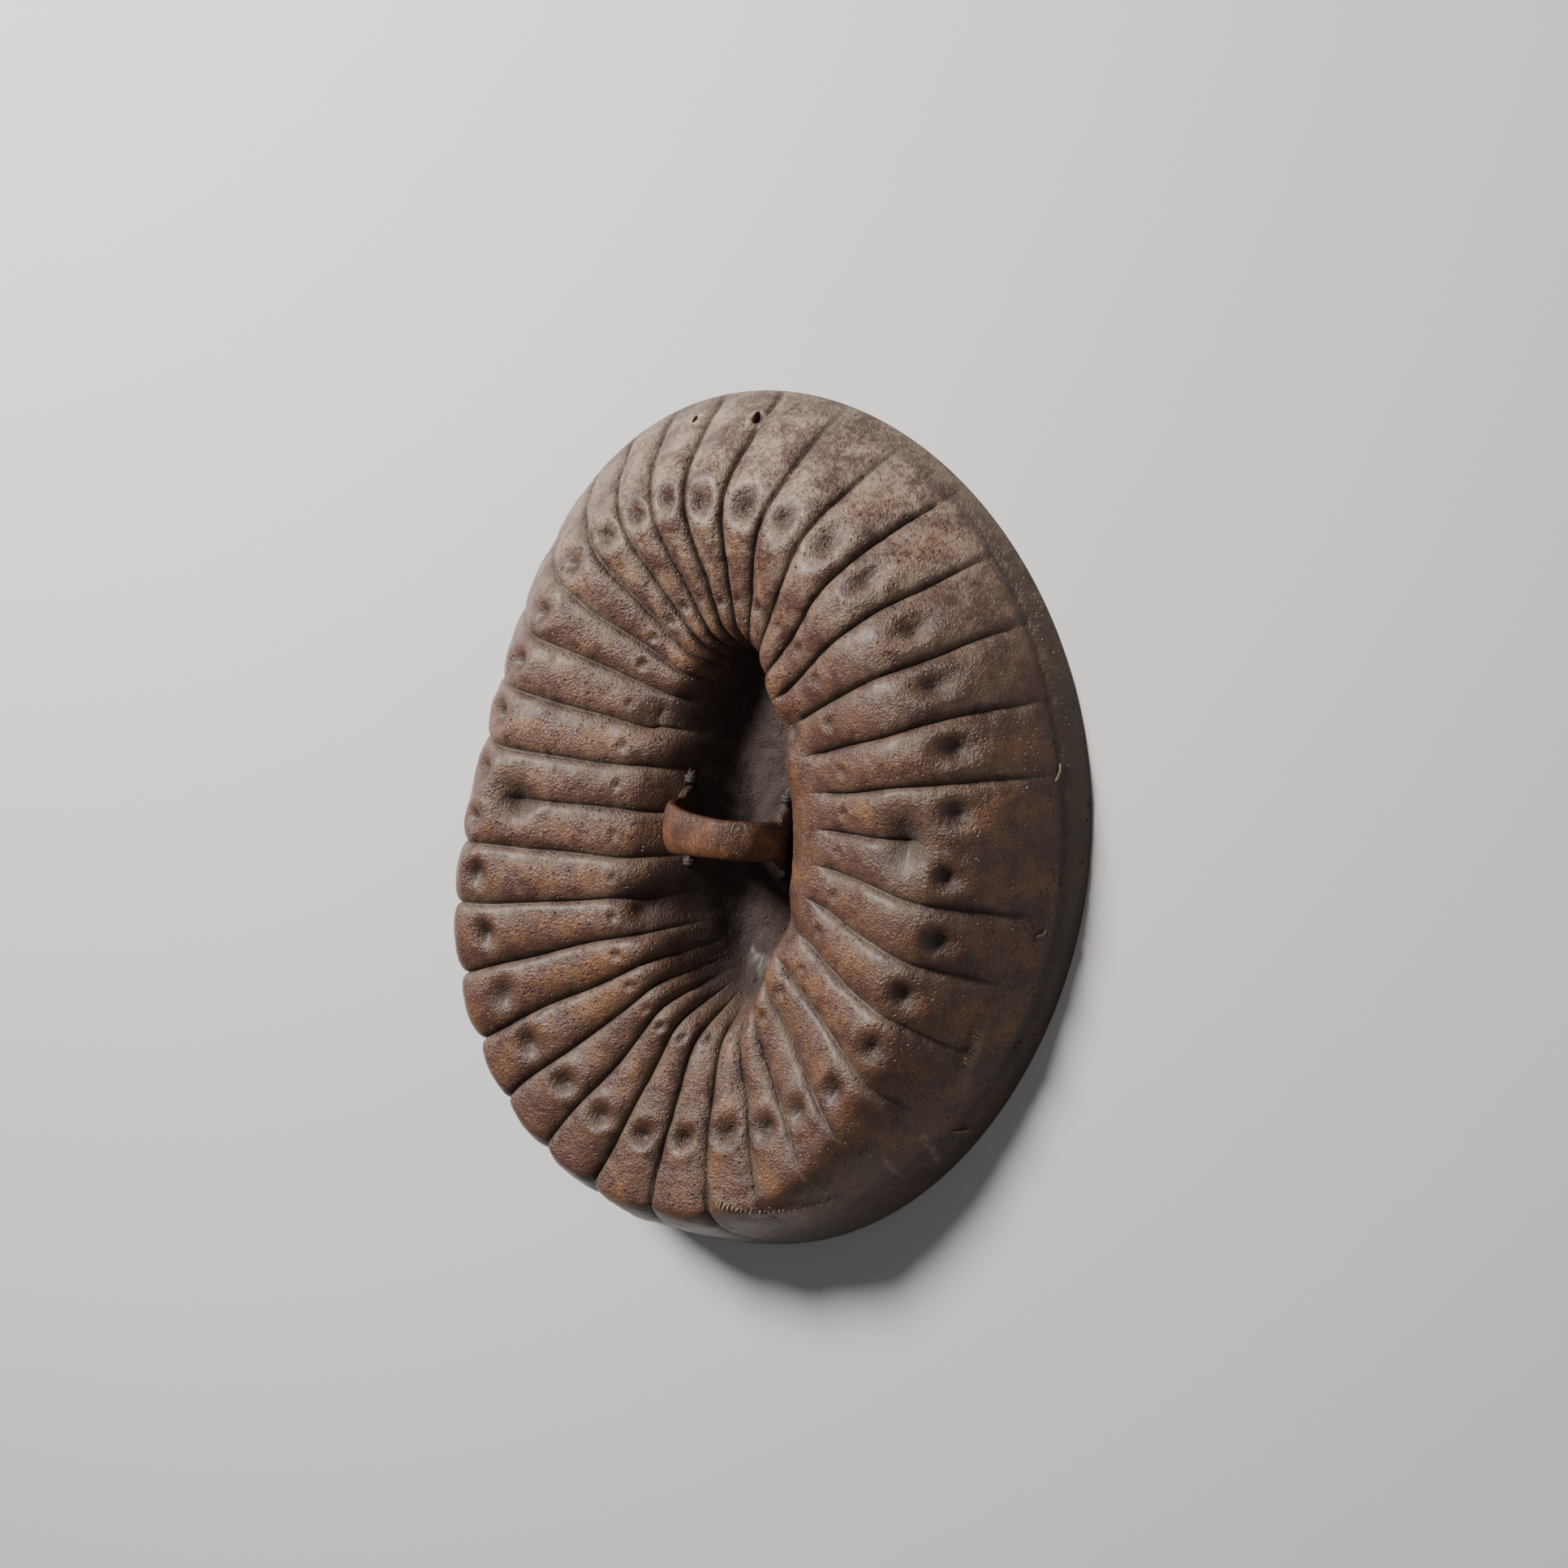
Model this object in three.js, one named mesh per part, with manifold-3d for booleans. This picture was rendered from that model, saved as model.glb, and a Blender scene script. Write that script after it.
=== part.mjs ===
// Round shield of moulded hide, lying on its rim with the grip side up.
// Millimetres, +Z up. X runs across the shield, Y along its long axis.
// The origin is the middle of the outline, on the surface the rim rests on.
// One thick hide is pressed into a ring-shaped bulge of pleated ribs round a
// long hollow, which holds the hand. A leather strap spans that hollow.

import * as THREE from 'three';
import { mergeVertices } from 'three/addons/utils/BufferGeometryUtils.js';
import Module from 'manifold-3d';

const wasm = await Module();
wasm.setup();

// ---------------------------------------------------------------- dimensions

const HIDE_THICKNESS = 5.5;
const CLEARANCE = 0.3;

// Waves round the shield: the mean, then the cosine and sine of each harmonic.
const RIM_RADIUS = [[315.6, 0], [0, -0.1], [-24.1, 6.3], [6.9, 1.8]];
const CREST_HEIGHT = [[101.6, 0], [-6, -11], [8.1, 7.5]];
const CREST_INSET = [[77.5, 0], [15.7, 36], [15.2, 0]];
const CREST_INSET_LEAST = 44;
const RIM_CENTRE = [-7.1, 2.5];

const TROUGH_HALF_WIDTH = 45.4;
const TROUGH_HALF_LENGTH = 133;
const TROUGH_CENTRE = [-7.3, 1.7];
const TROUGH_FLOOR = 8;

const RIBS = 34;
const FIRST_GROOVE = 1.862;
const GROOVE_DRIFT = [[0, 0], [0.085, -0.025], [0.02, 0.039], [-0.046, -0.088]];
const RIB_SWING = [[-0.014, 0], [-0.055, 0.078], [-0.036, -0.026], [0.02, 0.098]];
const GROOVE_DEPTH = 6;
// Two grooves stop at a deep hollow, so the ribs beyond them run together.
const SHORT_GROOVES = [
  { groove: 10, inset: 102, depth: 12, across: 24 },
  { groove: 27, inset: 106, depth: 10, across: 17 },
];

const DIMPLE_INSET = [[77.8, 0], [-1, -9.4], [-12.4, 0]];
const DIMPLE_DEPTH = 7;
const DIMPLE_RADIUS = 12;

// Four knuckle hollows on the shoulders of the trough.
const KNUCKLE_X = 63;
const KNUCKLE_Y = [84, -68];
const KNUCKLE_DEPTH = 6;
const KNUCKLE_RADIUS = 19;

const GRIP_FOOT_X = 49;
const GRIP_FOOT_Z = 40;
const GRIP_TOP_Z = 102;
const GRIP_THICKNESS = 7;
const GRIP_WIDE = 38;
const GRIP_NARROW = 31;
const GRIP_FOOT_WIDTH = 58;
const GRIP_Y = 0;

const THONG_RADIUS = 2.8;
const THREAD_RADIUS = 1.7;

// ------------------------------------------------------------ small formulas

const TURN = 2 * Math.PI;

function wave(angle, terms) {
  return terms.reduce((sum, [c, s], n) => sum + c * Math.cos(n * angle) + s * Math.sin(n * angle), 0);
}

function ease(from, to, value) {
  const t = Math.min(1, Math.max(0, (value - from) / (to - from)));
  return t * t * (3 - 2 * t);
}

function bell(distance, radius) {
  return Math.exp(-((distance / radius) ** 2));
}

function softAtLeast(value, least, softness = 8) {
  return least + softness * Math.log1p(Math.exp((value - least) / softness));
}

// Angle round the trough of the groove before rib number `rib`, or of any
// place between two grooves when the number has a fraction.
function ribAngle(rib) {
  const groove = (n) => {
    const even = 1.745 - (TURN * n) / RIBS;
    return even + FIRST_GROOVE - 1.745 + wave(even, GROOVE_DRIFT);
  };
  const below = Math.floor(rib);
  return groove(below) + (groove(below + 1) - groove(below)) * (rib - below);
}

// ----------------------------------------------------------- the hide's form

// The plan line of one rib: from its place on the rim, straight to its place
// on the trough's edge, then on to the trough's centre.
function ribLine(angle) {
  const outward = angle + wave(angle, RIB_SWING);
  const radius = wave(outward, RIM_RADIUS);
  const rim = new THREE.Vector2(Math.cos(outward), Math.sin(outward)).multiplyScalar(radius);
  rim.add(new THREE.Vector2(...RIM_CENTRE));
  const centre = new THREE.Vector2(...TROUGH_CENTRE);
  const edge = new THREE.Vector2(
    centre.x + TROUGH_HALF_WIDTH * Math.cos(angle),
    centre.y + TROUGH_HALF_LENGTH * Math.sin(angle),
  );
  return { rim, edge, centre, slope: rim.distanceTo(edge), floor: edge.distanceTo(centre) };
}

function planPoint(angle, inset) {
  const line = ribLine(angle);
  if (inset <= line.slope) {
    return line.rim.clone().lerp(line.edge, inset / line.slope);
  }
  return line.edge.clone().lerp(line.centre, Math.min(1, (inset - line.slope) / line.floor));
}

// How far along the inner slope a place lies: 0 on the crest, 1 on the
// trough's edge, and more than 1 over the trough's floor.
function slopeShare(angle, inset) {
  const crest = softAtLeast(wave(angle, CREST_INSET), CREST_INSET_LEAST);
  return { crest, share: (inset - crest) / (ribLine(angle).slope - crest) };
}

function formHeight(angle, inset) {
  const top = wave(angle, CREST_HEIGHT);
  const { crest, share } = slopeShare(angle, inset);
  if (share <= 0) {
    return top * (1 - (1 - inset / crest) ** 2);
  }
  const shelf = 1 - 0.2 * ease(0, 0.75, share);
  const sideways = Math.cos(angle) ** 8;
  const endways = Math.sin(angle) ** 8;
  const softness = 0.035 + 0.055 * sideways + 0.04 * endways;
  const wall = 1 / (1 + Math.exp((share - 0.955 + 0.02 * endways) / softness));
  return TROUGH_FLOOR + (top - TROUGH_FLOOR) * shelf * wall;
}

function formPoint(angle, inset) {
  const plan = planPoint(angle, inset);
  return new THREE.Vector3(plan.x, plan.y, formHeight(angle, inset));
}

// Outward normal of the plain form, before pleats and dimples.
function formNormal(angle, inset) {
  const step = 1.5;
  const turn = 0.02;
  const lower = Math.max(0.5, inset - step);
  const along = formPoint(angle, inset + step).sub(formPoint(angle, lower));
  const round = formPoint(angle + turn, Math.max(0.5, inset)).sub(formPoint(angle - turn, Math.max(0.5, inset)));
  return round.cross(along).normalize();
}

// Where the pleats are pressed in: faded out before the rim, most of all on
// the smooth stretch at the lower right, and again on the trough's wall.
function pleatStrength(angle, inset) {
  const start = 22 + 20 * Math.cos(angle) + 45 * bell(Math.atan2(Math.sin(angle + 0.96), Math.cos(angle + 0.96)), 0.38);
  const { share } = slopeShare(angle, inset);
  return ease(start - 12, start + 22, inset) * (1 - ease(0.8, 1.0, share));
}

function hollow(point, centre, radius, depth) {
  return -depth * bell(point.distanceTo(centre), radius);
}

// Height of the pressed relief above the plain form, along its normal.
function relief(rib, inset) {
  const angle = ribAngle(rib);
  const here = planPoint(angle, inset);
  const across = rib - Math.floor(rib);
  let strength = pleatStrength(angle, inset);
  let height = 0;
  for (const short of SHORT_GROOVES) {
    const near = 1 - ease(0.5, 0.75, Math.abs(rib - short.groove));
    strength *= 1 - near * (1 - ease(short.inset - 20, short.inset + 12, inset));
    height += hollow(here, planPoint(ribAngle(short.groove), short.inset), short.across, short.depth);
  }
  height -= GROOVE_DEPTH * strength * (1 - Math.abs(Math.sin(Math.PI * across)) ** 0.6);
  const middle = ribAngle(Math.floor(rib) + 0.5);
  height += hollow(here, planPoint(middle, wave(middle, DIMPLE_INSET)), DIMPLE_RADIUS, DIMPLE_DEPTH);
  for (const side of [-1, 1]) {
    for (const y of KNUCKLE_Y) {
      const knuckle = new THREE.Vector2(TROUGH_CENTRE[0] + side * KNUCKLE_X, TROUGH_CENTRE[1] + y);
      height += hollow(here, knuckle, KNUCKLE_RADIUS, KNUCKLE_DEPTH);
    }
  }
  return height;
}

// A place on the upper face of the hide, or `lift` above it.
function hidePoint(rib, inset, lift = 0) {
  const angle = ribAngle(rib);
  const height = inset <= 0 ? 0 : relief(rib, inset);
  const point = formPoint(angle, inset);
  point.addScaledVector(formNormal(angle, inset), height + lift);
  return point;
}

// ------------------------------------------------------------ solids in code

const solids = [];

function keep(solid) {
  solids.push(solid);
  return solid;
}

function solidFrom(positions, triangles) {
  const mesh = new wasm.Mesh({
    numProp: 3,
    vertProperties: new Float32Array(positions),
    triVerts: new Uint32Array(triangles),
  });
  return keep(new wasm.Manifold(mesh));
}

function solidFromGeometry(geometry) {
  const bare = geometry.clone();
  bare.deleteAttribute('normal');
  bare.deleteAttribute('uv');
  const merged = mergeVertices(bare, 1e-4);
  return solidFrom(merged.attributes.position.array, merged.index.array);
}

function geometryFrom(solid) {
  const mesh = solid.getMesh();
  const geometry = new THREE.BufferGeometry();
  geometry.setAttribute('position', new THREE.BufferAttribute(new Float32Array(mesh.vertProperties), 3));
  geometry.setIndex(Array.from(mesh.triVerts));
  geometry.computeVertexNormals();
  return geometry;
}

// A cut can leave crumbs of a piece on the far side of the hide.
function largestBody(solid) {
  return solid.decompose().sort((a, b) => b.volume() - a.volume())[0];
}

// Skins a row of rings, each the same count of points, and closes both ends.
function loft(rings) {
  const size = rings[0].length;
  const positions = rings.flat().flatMap((p) => [p.x, p.y, p.z]);
  const triangles = [];
  for (let r = 0; r + 1 < rings.length; r += 1) {
    for (let i = 0; i < size; i += 1) {
      const a = r * size + i;
      const b = r * size + ((i + 1) % size);
      triangles.push(a, b, b + size, a, b + size, a + size);
    }
  }
  const last = (rings.length - 1) * size;
  for (let i = 1; i + 1 < size; i += 1) {
    triangles.push(0, i + 1, i);
    triangles.push(last, last + i, last + i + 1);
  }
  return solidFrom(positions, triangles);
}

// ------------------------------------------------------------------ the hide

const COLUMNS = RIBS * 4;
// Rings of points from the rim to the dimples, on to the trough's edge and
// over its floor. The underside is plainer and has fewer.
const FACE_RINGS = {
  outer: [0.13, 0.27, 0.41, 0.55, 0.7, 0.85, 1],
  inner: [0.1, 0.26, 0.44, 0.62, 0.77, 0.87, 0.94, 1],
  floor: [0.26, 0.62],
};
const UNDERSIDE_RINGS = {
  outer: [0.35, 0.7, 1],
  inner: [0.3, 0.6, 0.8, 0.91, 1],
  floor: [0.28, 0.62],
};
// Share of the pressed relief that also shows on the underside.
const RELIEF_BELOW = 0.85;

// Rings crowd towards the rim where the crest lies close to it.
function ringInsets(angle, rings) {
  const { slope, floor } = ribLine(angle);
  const { crest } = slopeShare(angle, 0);
  const dimple = wave(angle, DIMPLE_INSET);
  const crowding = 1.1 + 0.6 * Math.max(0, dimple / crest - 1);
  return [
    ...rings.outer.map((share) => share ** crowding * dimple),
    ...rings.inner.map((share) => dimple + share * (slope - dimple)),
    ...rings.floor.map((share) => slope + share * floor),
  ];
}

function upperColumn(rib, grow) {
  const angle = ribAngle(rib);
  const edge = formPoint(angle, 0);
  const outwards = edge.clone().normalize();
  const points = ringInsets(angle, FACE_RINGS).map((inset) => hidePoint(rib, inset, grow));
  return [edge.addScaledVector(outwards, grow).setZ(-grow), ...points];
}

function lowerColumn(rib, grow) {
  const angle = ribAngle(rib);
  const edge = formPoint(angle, 0);
  const outwards = edge.clone().normalize();
  const rimNormal = formNormal(angle, 0);
  const foot = HIDE_THICKNESS / Math.max(0.75, Math.hypot(rimNormal.x, rimNormal.y));
  const points = ringInsets(angle, UNDERSIDE_RINGS).map((inset) => {
    const depth = RELIEF_BELOW * relief(rib, inset) - HIDE_THICKNESS - grow;
    const point = formPoint(angle, inset).addScaledVector(formNormal(angle, inset), depth);
    return point.setZ(Math.max(point.z, 0.6));
  });
  return [edge.addScaledVector(outwards, -foot - grow).setZ(-grow), ...points];
}

function hideSolid(grow = 0) {
  const positions = [];
  const triangles = [];
  const addFace = (columnAt, middleHeight, flip) => {
    const first = positions.length / 3;
    const columns = Array.from({ length: COLUMNS }, (_, c) => columnAt((c * RIBS) / COLUMNS, grow));
    columns.flat().forEach((p) => positions.push(p.x, p.y, p.z));
    positions.push(...TROUGH_CENTRE, middleHeight);
    const rings = columns[0].length;
    const middle = first + COLUMNS * rings;
    const at = (column, ring) => first + (column % COLUMNS) * rings + ring;
    const addTriangle = (a, b, c) => triangles.push(...(flip ? [a, c, b] : [a, b, c]));
    for (let c = 0; c < COLUMNS; c += 1) {
      for (let r = 0; r + 1 < rings; r += 1) {
        addTriangle(at(c, r), at(c + 1, r + 1), at(c + 1, r));
        addTriangle(at(c, r), at(c, r + 1), at(c + 1, r + 1));
      }
      addTriangle(at(c, rings - 1), middle, at(c + 1, rings - 1));
    }
    return (column) => at(column, 0);
  };
  const outerRim = addFace(upperColumn, TROUGH_FLOOR + grow, false);
  const innerRim = addFace(lowerColumn, TROUGH_FLOOR - HIDE_THICKNESS - grow, true);
  for (let c = 0; c < COLUMNS; c += 1) {
    triangles.push(outerRim(c), outerRim(c + 1), innerRim(c + 1));
    triangles.push(outerRim(c), innerRim(c + 1), innerRim(c));
  }
  return solidFrom(positions, triangles);
}

// A place on the faceted face itself, between its columns and rings.
function facetPoint(rib, inset, lift) {
  const column = Math.floor((rib * COLUMNS) / RIBS);
  const onColumn = (number) => {
    const at = (number * RIBS) / COLUMNS;
    const insets = [0, ...ringInsets(ribAngle(at), FACE_RINGS)];
    const points = upperColumn(at, 0);
    const ring = insets.findIndex((value) => value > inset) - 1;
    const share = (inset - insets[ring]) / (insets[ring + 1] - insets[ring]);
    return points[ring].clone().lerp(points[ring + 1], share);
  };
  const point = onColumn(column).lerp(onColumn(column + 1), (rib * COLUMNS) / RIBS - column);
  return point.addScaledVector(formNormal(ribAngle(rib), inset), lift);
}

// Two slits near the upper rim, for a hanging thong.
const SLITS = [
  { rib: 0.71, inset: 17, length: 9, width: 4.5, slant: 0.5 },
  { rib: 1.91, inset: 20, length: 13, width: 6, slant: 0.35 },
];

function slitCutter({ rib, inset, length, width, slant }) {
  const outline = new THREE.Shape();
  outline.absellipse(0, 0, width / 2, length / 2, 0, TURN, false, slant);
  const geometry = new THREE.ExtrudeGeometry(outline, { depth: 30, bevelEnabled: false, curveSegments: 5 });
  geometry.translate(0, 0, -15);
  const normal = formNormal(ribAngle(rib), inset);
  const side = new THREE.Vector3(-normal.y, normal.x, 0).normalize().negate();
  const up = normal.clone().cross(side);
  const place = new THREE.Matrix4().makeBasis(side, up, normal).setPosition(hidePoint(rib, inset));
  return solidFromGeometry(geometry.applyMatrix4(place));
}

// ------------------------------------------------------------------ the grip

// Centre line of the strap, from its left foot over the arch to its right foot.
function gripLine(share) {
  const turn = Math.PI * (1 - share);
  const squarish = (value) => Math.sign(value) * Math.abs(value) ** 0.78;
  const x = TROUGH_CENTRE[0] + GRIP_FOOT_X * squarish(Math.cos(turn));
  const z = GRIP_FOOT_Z + (GRIP_TOP_Z - GRIP_FOOT_Z) * squarish(Math.sin(turn));
  return new THREE.Vector3(x, GRIP_Y + 3 * Math.cos(turn) * -1, z);
}

function gripWidth(share) {
  const body = GRIP_WIDE + (GRIP_NARROW - GRIP_WIDE) * ease(0.3, 0.6, share);
  const foot = Math.max(1 - share / 0.09, 1 - (1 - share) / 0.09, 0);
  return body + (GRIP_FOOT_WIDTH - body) * Math.sqrt(foot);
}

function strapRing(centre, along, width, thickness) {
  const across = new THREE.Vector3(0, 1, 0);
  const out = along.clone().cross(across).normalize();
  const shape = [[1, 0.45], [0.86, 1], [-0.86, 1], [-1, 0.45], [-1, -0.45], [-0.86, -1], [0.86, -1], [1, -0.45]];
  return shape.map(([w, t]) => centre.clone()
    .addScaledVector(across, (w * width) / 2)
    .addScaledVector(out, (t * thickness) / 2));
}

function gripSolid(grow = 0) {
  const steps = 20;
  const rings = [];
  for (let i = 0; i <= steps; i += 1) {
    const share = i / steps;
    const along = gripLine(Math.min(1, share + 0.01)).sub(gripLine(Math.max(0, share - 0.01))).normalize();
    rings.push(strapRing(gripLine(share), along, gripWidth(share) + 2 * grow, GRIP_THICKNESS + 2 * grow));
  }
  return loft(rings);
}

// --------------------------------------------------------- thongs and threads

function roundRing(centre, along, radius, sides) {
  const spare = Math.abs(along.z) > 0.9 ? new THREE.Vector3(1, 0, 0) : new THREE.Vector3(0, 0, 1);
  const side = along.clone().cross(spare).normalize();
  const up = along.clone().cross(side);
  return Array.from({ length: sides }, (_, i) => {
    const turn = (TURN * i) / sides;
    return centre.clone()
      .addScaledVector(side, radius * Math.cos(turn))
      .addScaledVector(up, radius * Math.sin(turn));
  });
}

function cordSolid(points, steps, sides, radiusAt) {
  const curve = new THREE.CatmullRomCurve3(points);
  const rings = [];
  for (let i = 0; i <= steps; i += 1) {
    const share = i / steps;
    rings.push(roundRing(curve.getPoint(share), curve.getTangent(share), radiusAt(share), sides));
  }
  return loft(rings);
}

// A thong end comes up through the hide beside a foot of the grip, bends over
// the foot's edge and is tucked back down.
function thongSolid(side, end) {
  const foot = TROUGH_CENTRE[0] + side * GRIP_FOOT_X;
  const edge = GRIP_Y - 3 * side + (end * GRIP_FOOT_WIDTH) / 2;
  const points = [[6, -7, 1], [3, -3, 9], [-1, 4, 11], [1, 9, 6], [5, 10, -2]]
    .map(([x, y, z]) => new THREE.Vector3(foot + side * x, edge + end * y, GRIP_FOOT_Z + z));
  return cordSolid(points, 8, 6, () => THONG_RADIUS);
}

// A sewn line on the face of the hide: the thread bulges at every stitch.
function threadSolid(path, stitches, radius = THREAD_RADIUS) {
  const rough = new THREE.CatmullRomCurve3(path.map(([rib, inset]) => new THREE.Vector3(rib, inset, 0)));
  const steps = 5 + Math.round(stitches / 2);
  const points = rough.getPoints(steps).map((place) => facetPoint(place.x, place.y, 0.5 * radius));
  const bulge = (share) => radius * (0.85 + 0.15 * Math.cos(Math.PI * steps * share));
  return cordSolid(points, steps, 5, bulge);
}

const SEWN = {
  seam_thread: { path: [[17.75, 48], [17.3, 38], [16.84, 31], [16.4, 25], [16.03, 22]], stitches: 27 },
  scar_thread: { path: [[13.13, 24], [12.9, 25], [12.67, 27]], stitches: 8 },
  rim_stitch_1: { path: [[8.86, 12], [8.98, 13], [9.1, 15]], stitches: 2 },
  rim_stitch_2: { path: [[11.15, 14], [11.21, 15], [11.27, 18]], stitches: 2 },
  rim_stitch_3: { path: [[14.05, 6], [14.11, 8], [14.18, 11]], stitches: 2 },
};

// ---------------------------------------------------------------- assembling

const LEATHER = {
  hide: new THREE.MeshStandardMaterial({ color: 0x4a3328, roughness: 0.55, metalness: 0 }),
  strap: new THREE.MeshStandardMaterial({ color: 0x6b4228, roughness: 0.4, metalness: 0 }),
  thong: new THREE.MeshStandardMaterial({ color: 0x2a1d17, roughness: 0.6, metalness: 0 }),
  thread: new THREE.MeshStandardMaterial({ color: 0x9c8468, roughness: 0.7, metalness: 0 }),
};

const group = new THREE.Group();

function addPiece(name, solid, material) {
  const mesh = new THREE.Mesh(geometryFrom(solid), material);
  mesh.name = name;
  group.add(mesh);
}

let hide = hideSolid();
for (const slit of SLITS) {
  hide = keep(hide.subtract(slitCutter(slit)));
}
addPiece('hide_shell', hide, LEATHER.hide);

const roomForHide = hideSolid(CLEARANCE);
const roomForGrip = gripSolid(CLEARANCE);
addPiece('grip_strap', keep(largestBody(gripSolid().subtract(roomForHide))), LEATHER.strap);

for (const [sideName, side] of [['left', -1], ['right', 1]]) {
  for (const [endName, end] of [['upper', 1], ['lower', -1]]) {
    const thong = thongSolid(side, end).subtract(roomForHide).subtract(roomForGrip);
    addPiece(`thong_${sideName}_${endName}`, keep(largestBody(thong)), LEATHER.thong);
  }
}

for (const [name, { path, stitches }] of Object.entries(SEWN)) {
  const thread = threadSolid(path, stitches).subtract(roomForHide);
  addPiece(name, keep(largestBody(thread)), LEATHER.thread);
}

solids.forEach((solid) => solid.delete());

export default group;
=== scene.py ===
# %% [markdown]
# # A round shield of moulded hide
# The real shield is one thick hide, soaked, pressed into a ring-shaped bulge of
# ribs round a long hollow, and dried hard. A leather strap over the hollow is
# the hand grip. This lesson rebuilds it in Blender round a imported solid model,
# the frame, which fixes every size and place. Each step first says what the
# piece is on the real shield, how it could be made, and why it is made so here.

import math

import bpy
import numpy as np
from mathutils import Matrix, Vector, noise


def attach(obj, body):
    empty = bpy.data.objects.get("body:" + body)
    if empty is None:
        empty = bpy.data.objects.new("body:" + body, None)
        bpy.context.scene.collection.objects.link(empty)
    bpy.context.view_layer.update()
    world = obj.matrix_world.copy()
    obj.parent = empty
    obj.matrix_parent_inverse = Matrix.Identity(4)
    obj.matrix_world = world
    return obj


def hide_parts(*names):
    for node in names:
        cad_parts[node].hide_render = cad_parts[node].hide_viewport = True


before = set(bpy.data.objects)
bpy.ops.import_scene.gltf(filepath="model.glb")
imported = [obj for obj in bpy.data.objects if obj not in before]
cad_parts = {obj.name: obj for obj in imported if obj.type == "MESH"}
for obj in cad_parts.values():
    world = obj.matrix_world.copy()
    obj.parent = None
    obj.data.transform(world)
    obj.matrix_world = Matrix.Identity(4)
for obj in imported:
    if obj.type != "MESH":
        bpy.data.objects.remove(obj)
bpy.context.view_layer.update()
MM = 0.001
TURN = 2 * math.pi
print("solids:", sorted(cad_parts))

# %% [markdown]
# ## The camera
# The shield lies on its rim, and the camera looks down on the grip side from
# beyond its right edge, tipped a little so that the long hollow stands almost
# upright in the picture. A long lens from four metres keeps the ring from
# bulging towards the viewer. The camera is built from its three directions
# rather than aimed with a constraint, so its small roll is exact.

# %% Camera
TURN_RIGHT = math.radians(37.7)
TIP = math.radians(8.04)
ROLL = math.radians(1.46)
CAMERA_DISTANCE = 4.0
LOOKED_AT = Vector((-0.0071, 0.0025, 0.0))

towards = Vector((
    math.sin(TURN_RIGHT) * math.cos(TIP),
    math.sin(TIP),
    math.cos(TURN_RIGHT) * math.cos(TIP),
))
level_right = Vector((math.cos(TURN_RIGHT), 0, -math.sin(TURN_RIGHT)))
level_up = towards.cross(level_right)
right = level_right * math.cos(ROLL) + level_up * math.sin(ROLL)
up = level_up * math.cos(ROLL) - level_right * math.sin(ROLL)

bpy.ops.object.camera_add()
camera = bpy.context.object
camera.matrix_world = Matrix.Translation(LOOKED_AT + towards * CAMERA_DISTANCE) @ Matrix(
    (right, up, towards)
).transposed().to_4x4()
camera.data.lens = 116.5
camera.data.sensor_width = 36
camera.data.shift_x = 0.0038
camera.data.shift_y = 0.0229
bpy.context.scene.camera = camera
print("camera stands at", [round(value, 3) for value in camera.location])

# %% [markdown]
# ## Small formulas
# The hide's form is worked out, not sculpted, so a few formulas do most of the
# work: a wave that runs round the shield, a soft step, and a bell-shaped bump.
# They take whole arrays at once, because the hide has tens of thousands of points.


# %% Waves, steps and bells
def wave(angle, terms):
    return sum(c * np.cos(n * angle) + s * np.sin(n * angle) for n, (c, s) in enumerate(terms))


def ease(start, end, value):
    share = np.clip((value - start) / (end - start), 0, 1)
    return share * share * (3 - 2 * share)


def bell(distance, radius):
    return np.exp(-((distance / radius) ** 2))


def soft_at_least(value, least, softness=8):
    return least + softness * np.log1p(np.exp((value - least) / softness))


print("a soft step half way:", ease(0, 1, 0.5))

# %% [markdown]
# ## The plain form of the hide
# Before its ribs are pressed in, the hide is a smooth ring. Its outline, the
# height of its crest and the distance from rim to crest all change gently round
# the shield, as short waves. A point is named by its rib, counted clockwise from
# the top, and by its inset, the distance in from the rim. That is easier to
# place dimples and seams with than X and Y are. These are the frame's own sizes,
# in millimetres.

# %% Sizes of the ring
HIDE_THICKNESS = 5.5
RIM_RADIUS = [[315.6, 0], [0, -0.1], [-24.1, 6.3], [6.9, 1.8]]
RIM_CENTRE = (-7.1, 2.5)
CREST_HEIGHT = [[101.6, 0], [-6, -11], [8.1, 7.5]]
CREST_INSET = [[77.5, 0], [15.7, 36], [15.2, 0]]
CREST_INSET_LEAST = 44
TROUGH_HALF_WIDTH = 45.4
TROUGH_HALF_LENGTH = 133
TROUGH_CENTRE = (-7.3, 1.7)
TROUGH_FLOOR = 8
RIBS = 34
GROOVE_DRIFT = [[0.117, 0], [0.085, -0.025], [0.02, 0.039], [-0.046, -0.088]]
RIB_SWING = [[-0.014, 0], [-0.055, 0.078], [-0.036, -0.026], [0.02, 0.098]]


# %% From rib and inset to a place
def rib_angle(rib):
    def groove(number):
        even = 1.745 - TURN * number / RIBS
        return even + wave(even, GROOVE_DRIFT)

    below = np.floor(rib)
    return groove(below) + (groove(below + 1) - groove(below)) * (rib - below)


def rib_line(angle):
    outward = angle + wave(angle, RIB_SWING)
    radius = wave(outward, RIM_RADIUS)
    rim = np.stack([RIM_CENTRE[0] + radius * np.cos(outward), RIM_CENTRE[1] + radius * np.sin(outward)])
    edge = np.stack([
        TROUGH_CENTRE[0] + TROUGH_HALF_WIDTH * np.cos(angle),
        TROUGH_CENTRE[1] + TROUGH_HALF_LENGTH * np.sin(angle),
    ])
    centre = np.array(TROUGH_CENTRE).reshape(2, *[1] * np.ndim(angle))
    slope = np.hypot(*(rim - edge))
    floor = np.hypot(*(edge - centre))
    return rim, edge, centre, slope, floor


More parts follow.
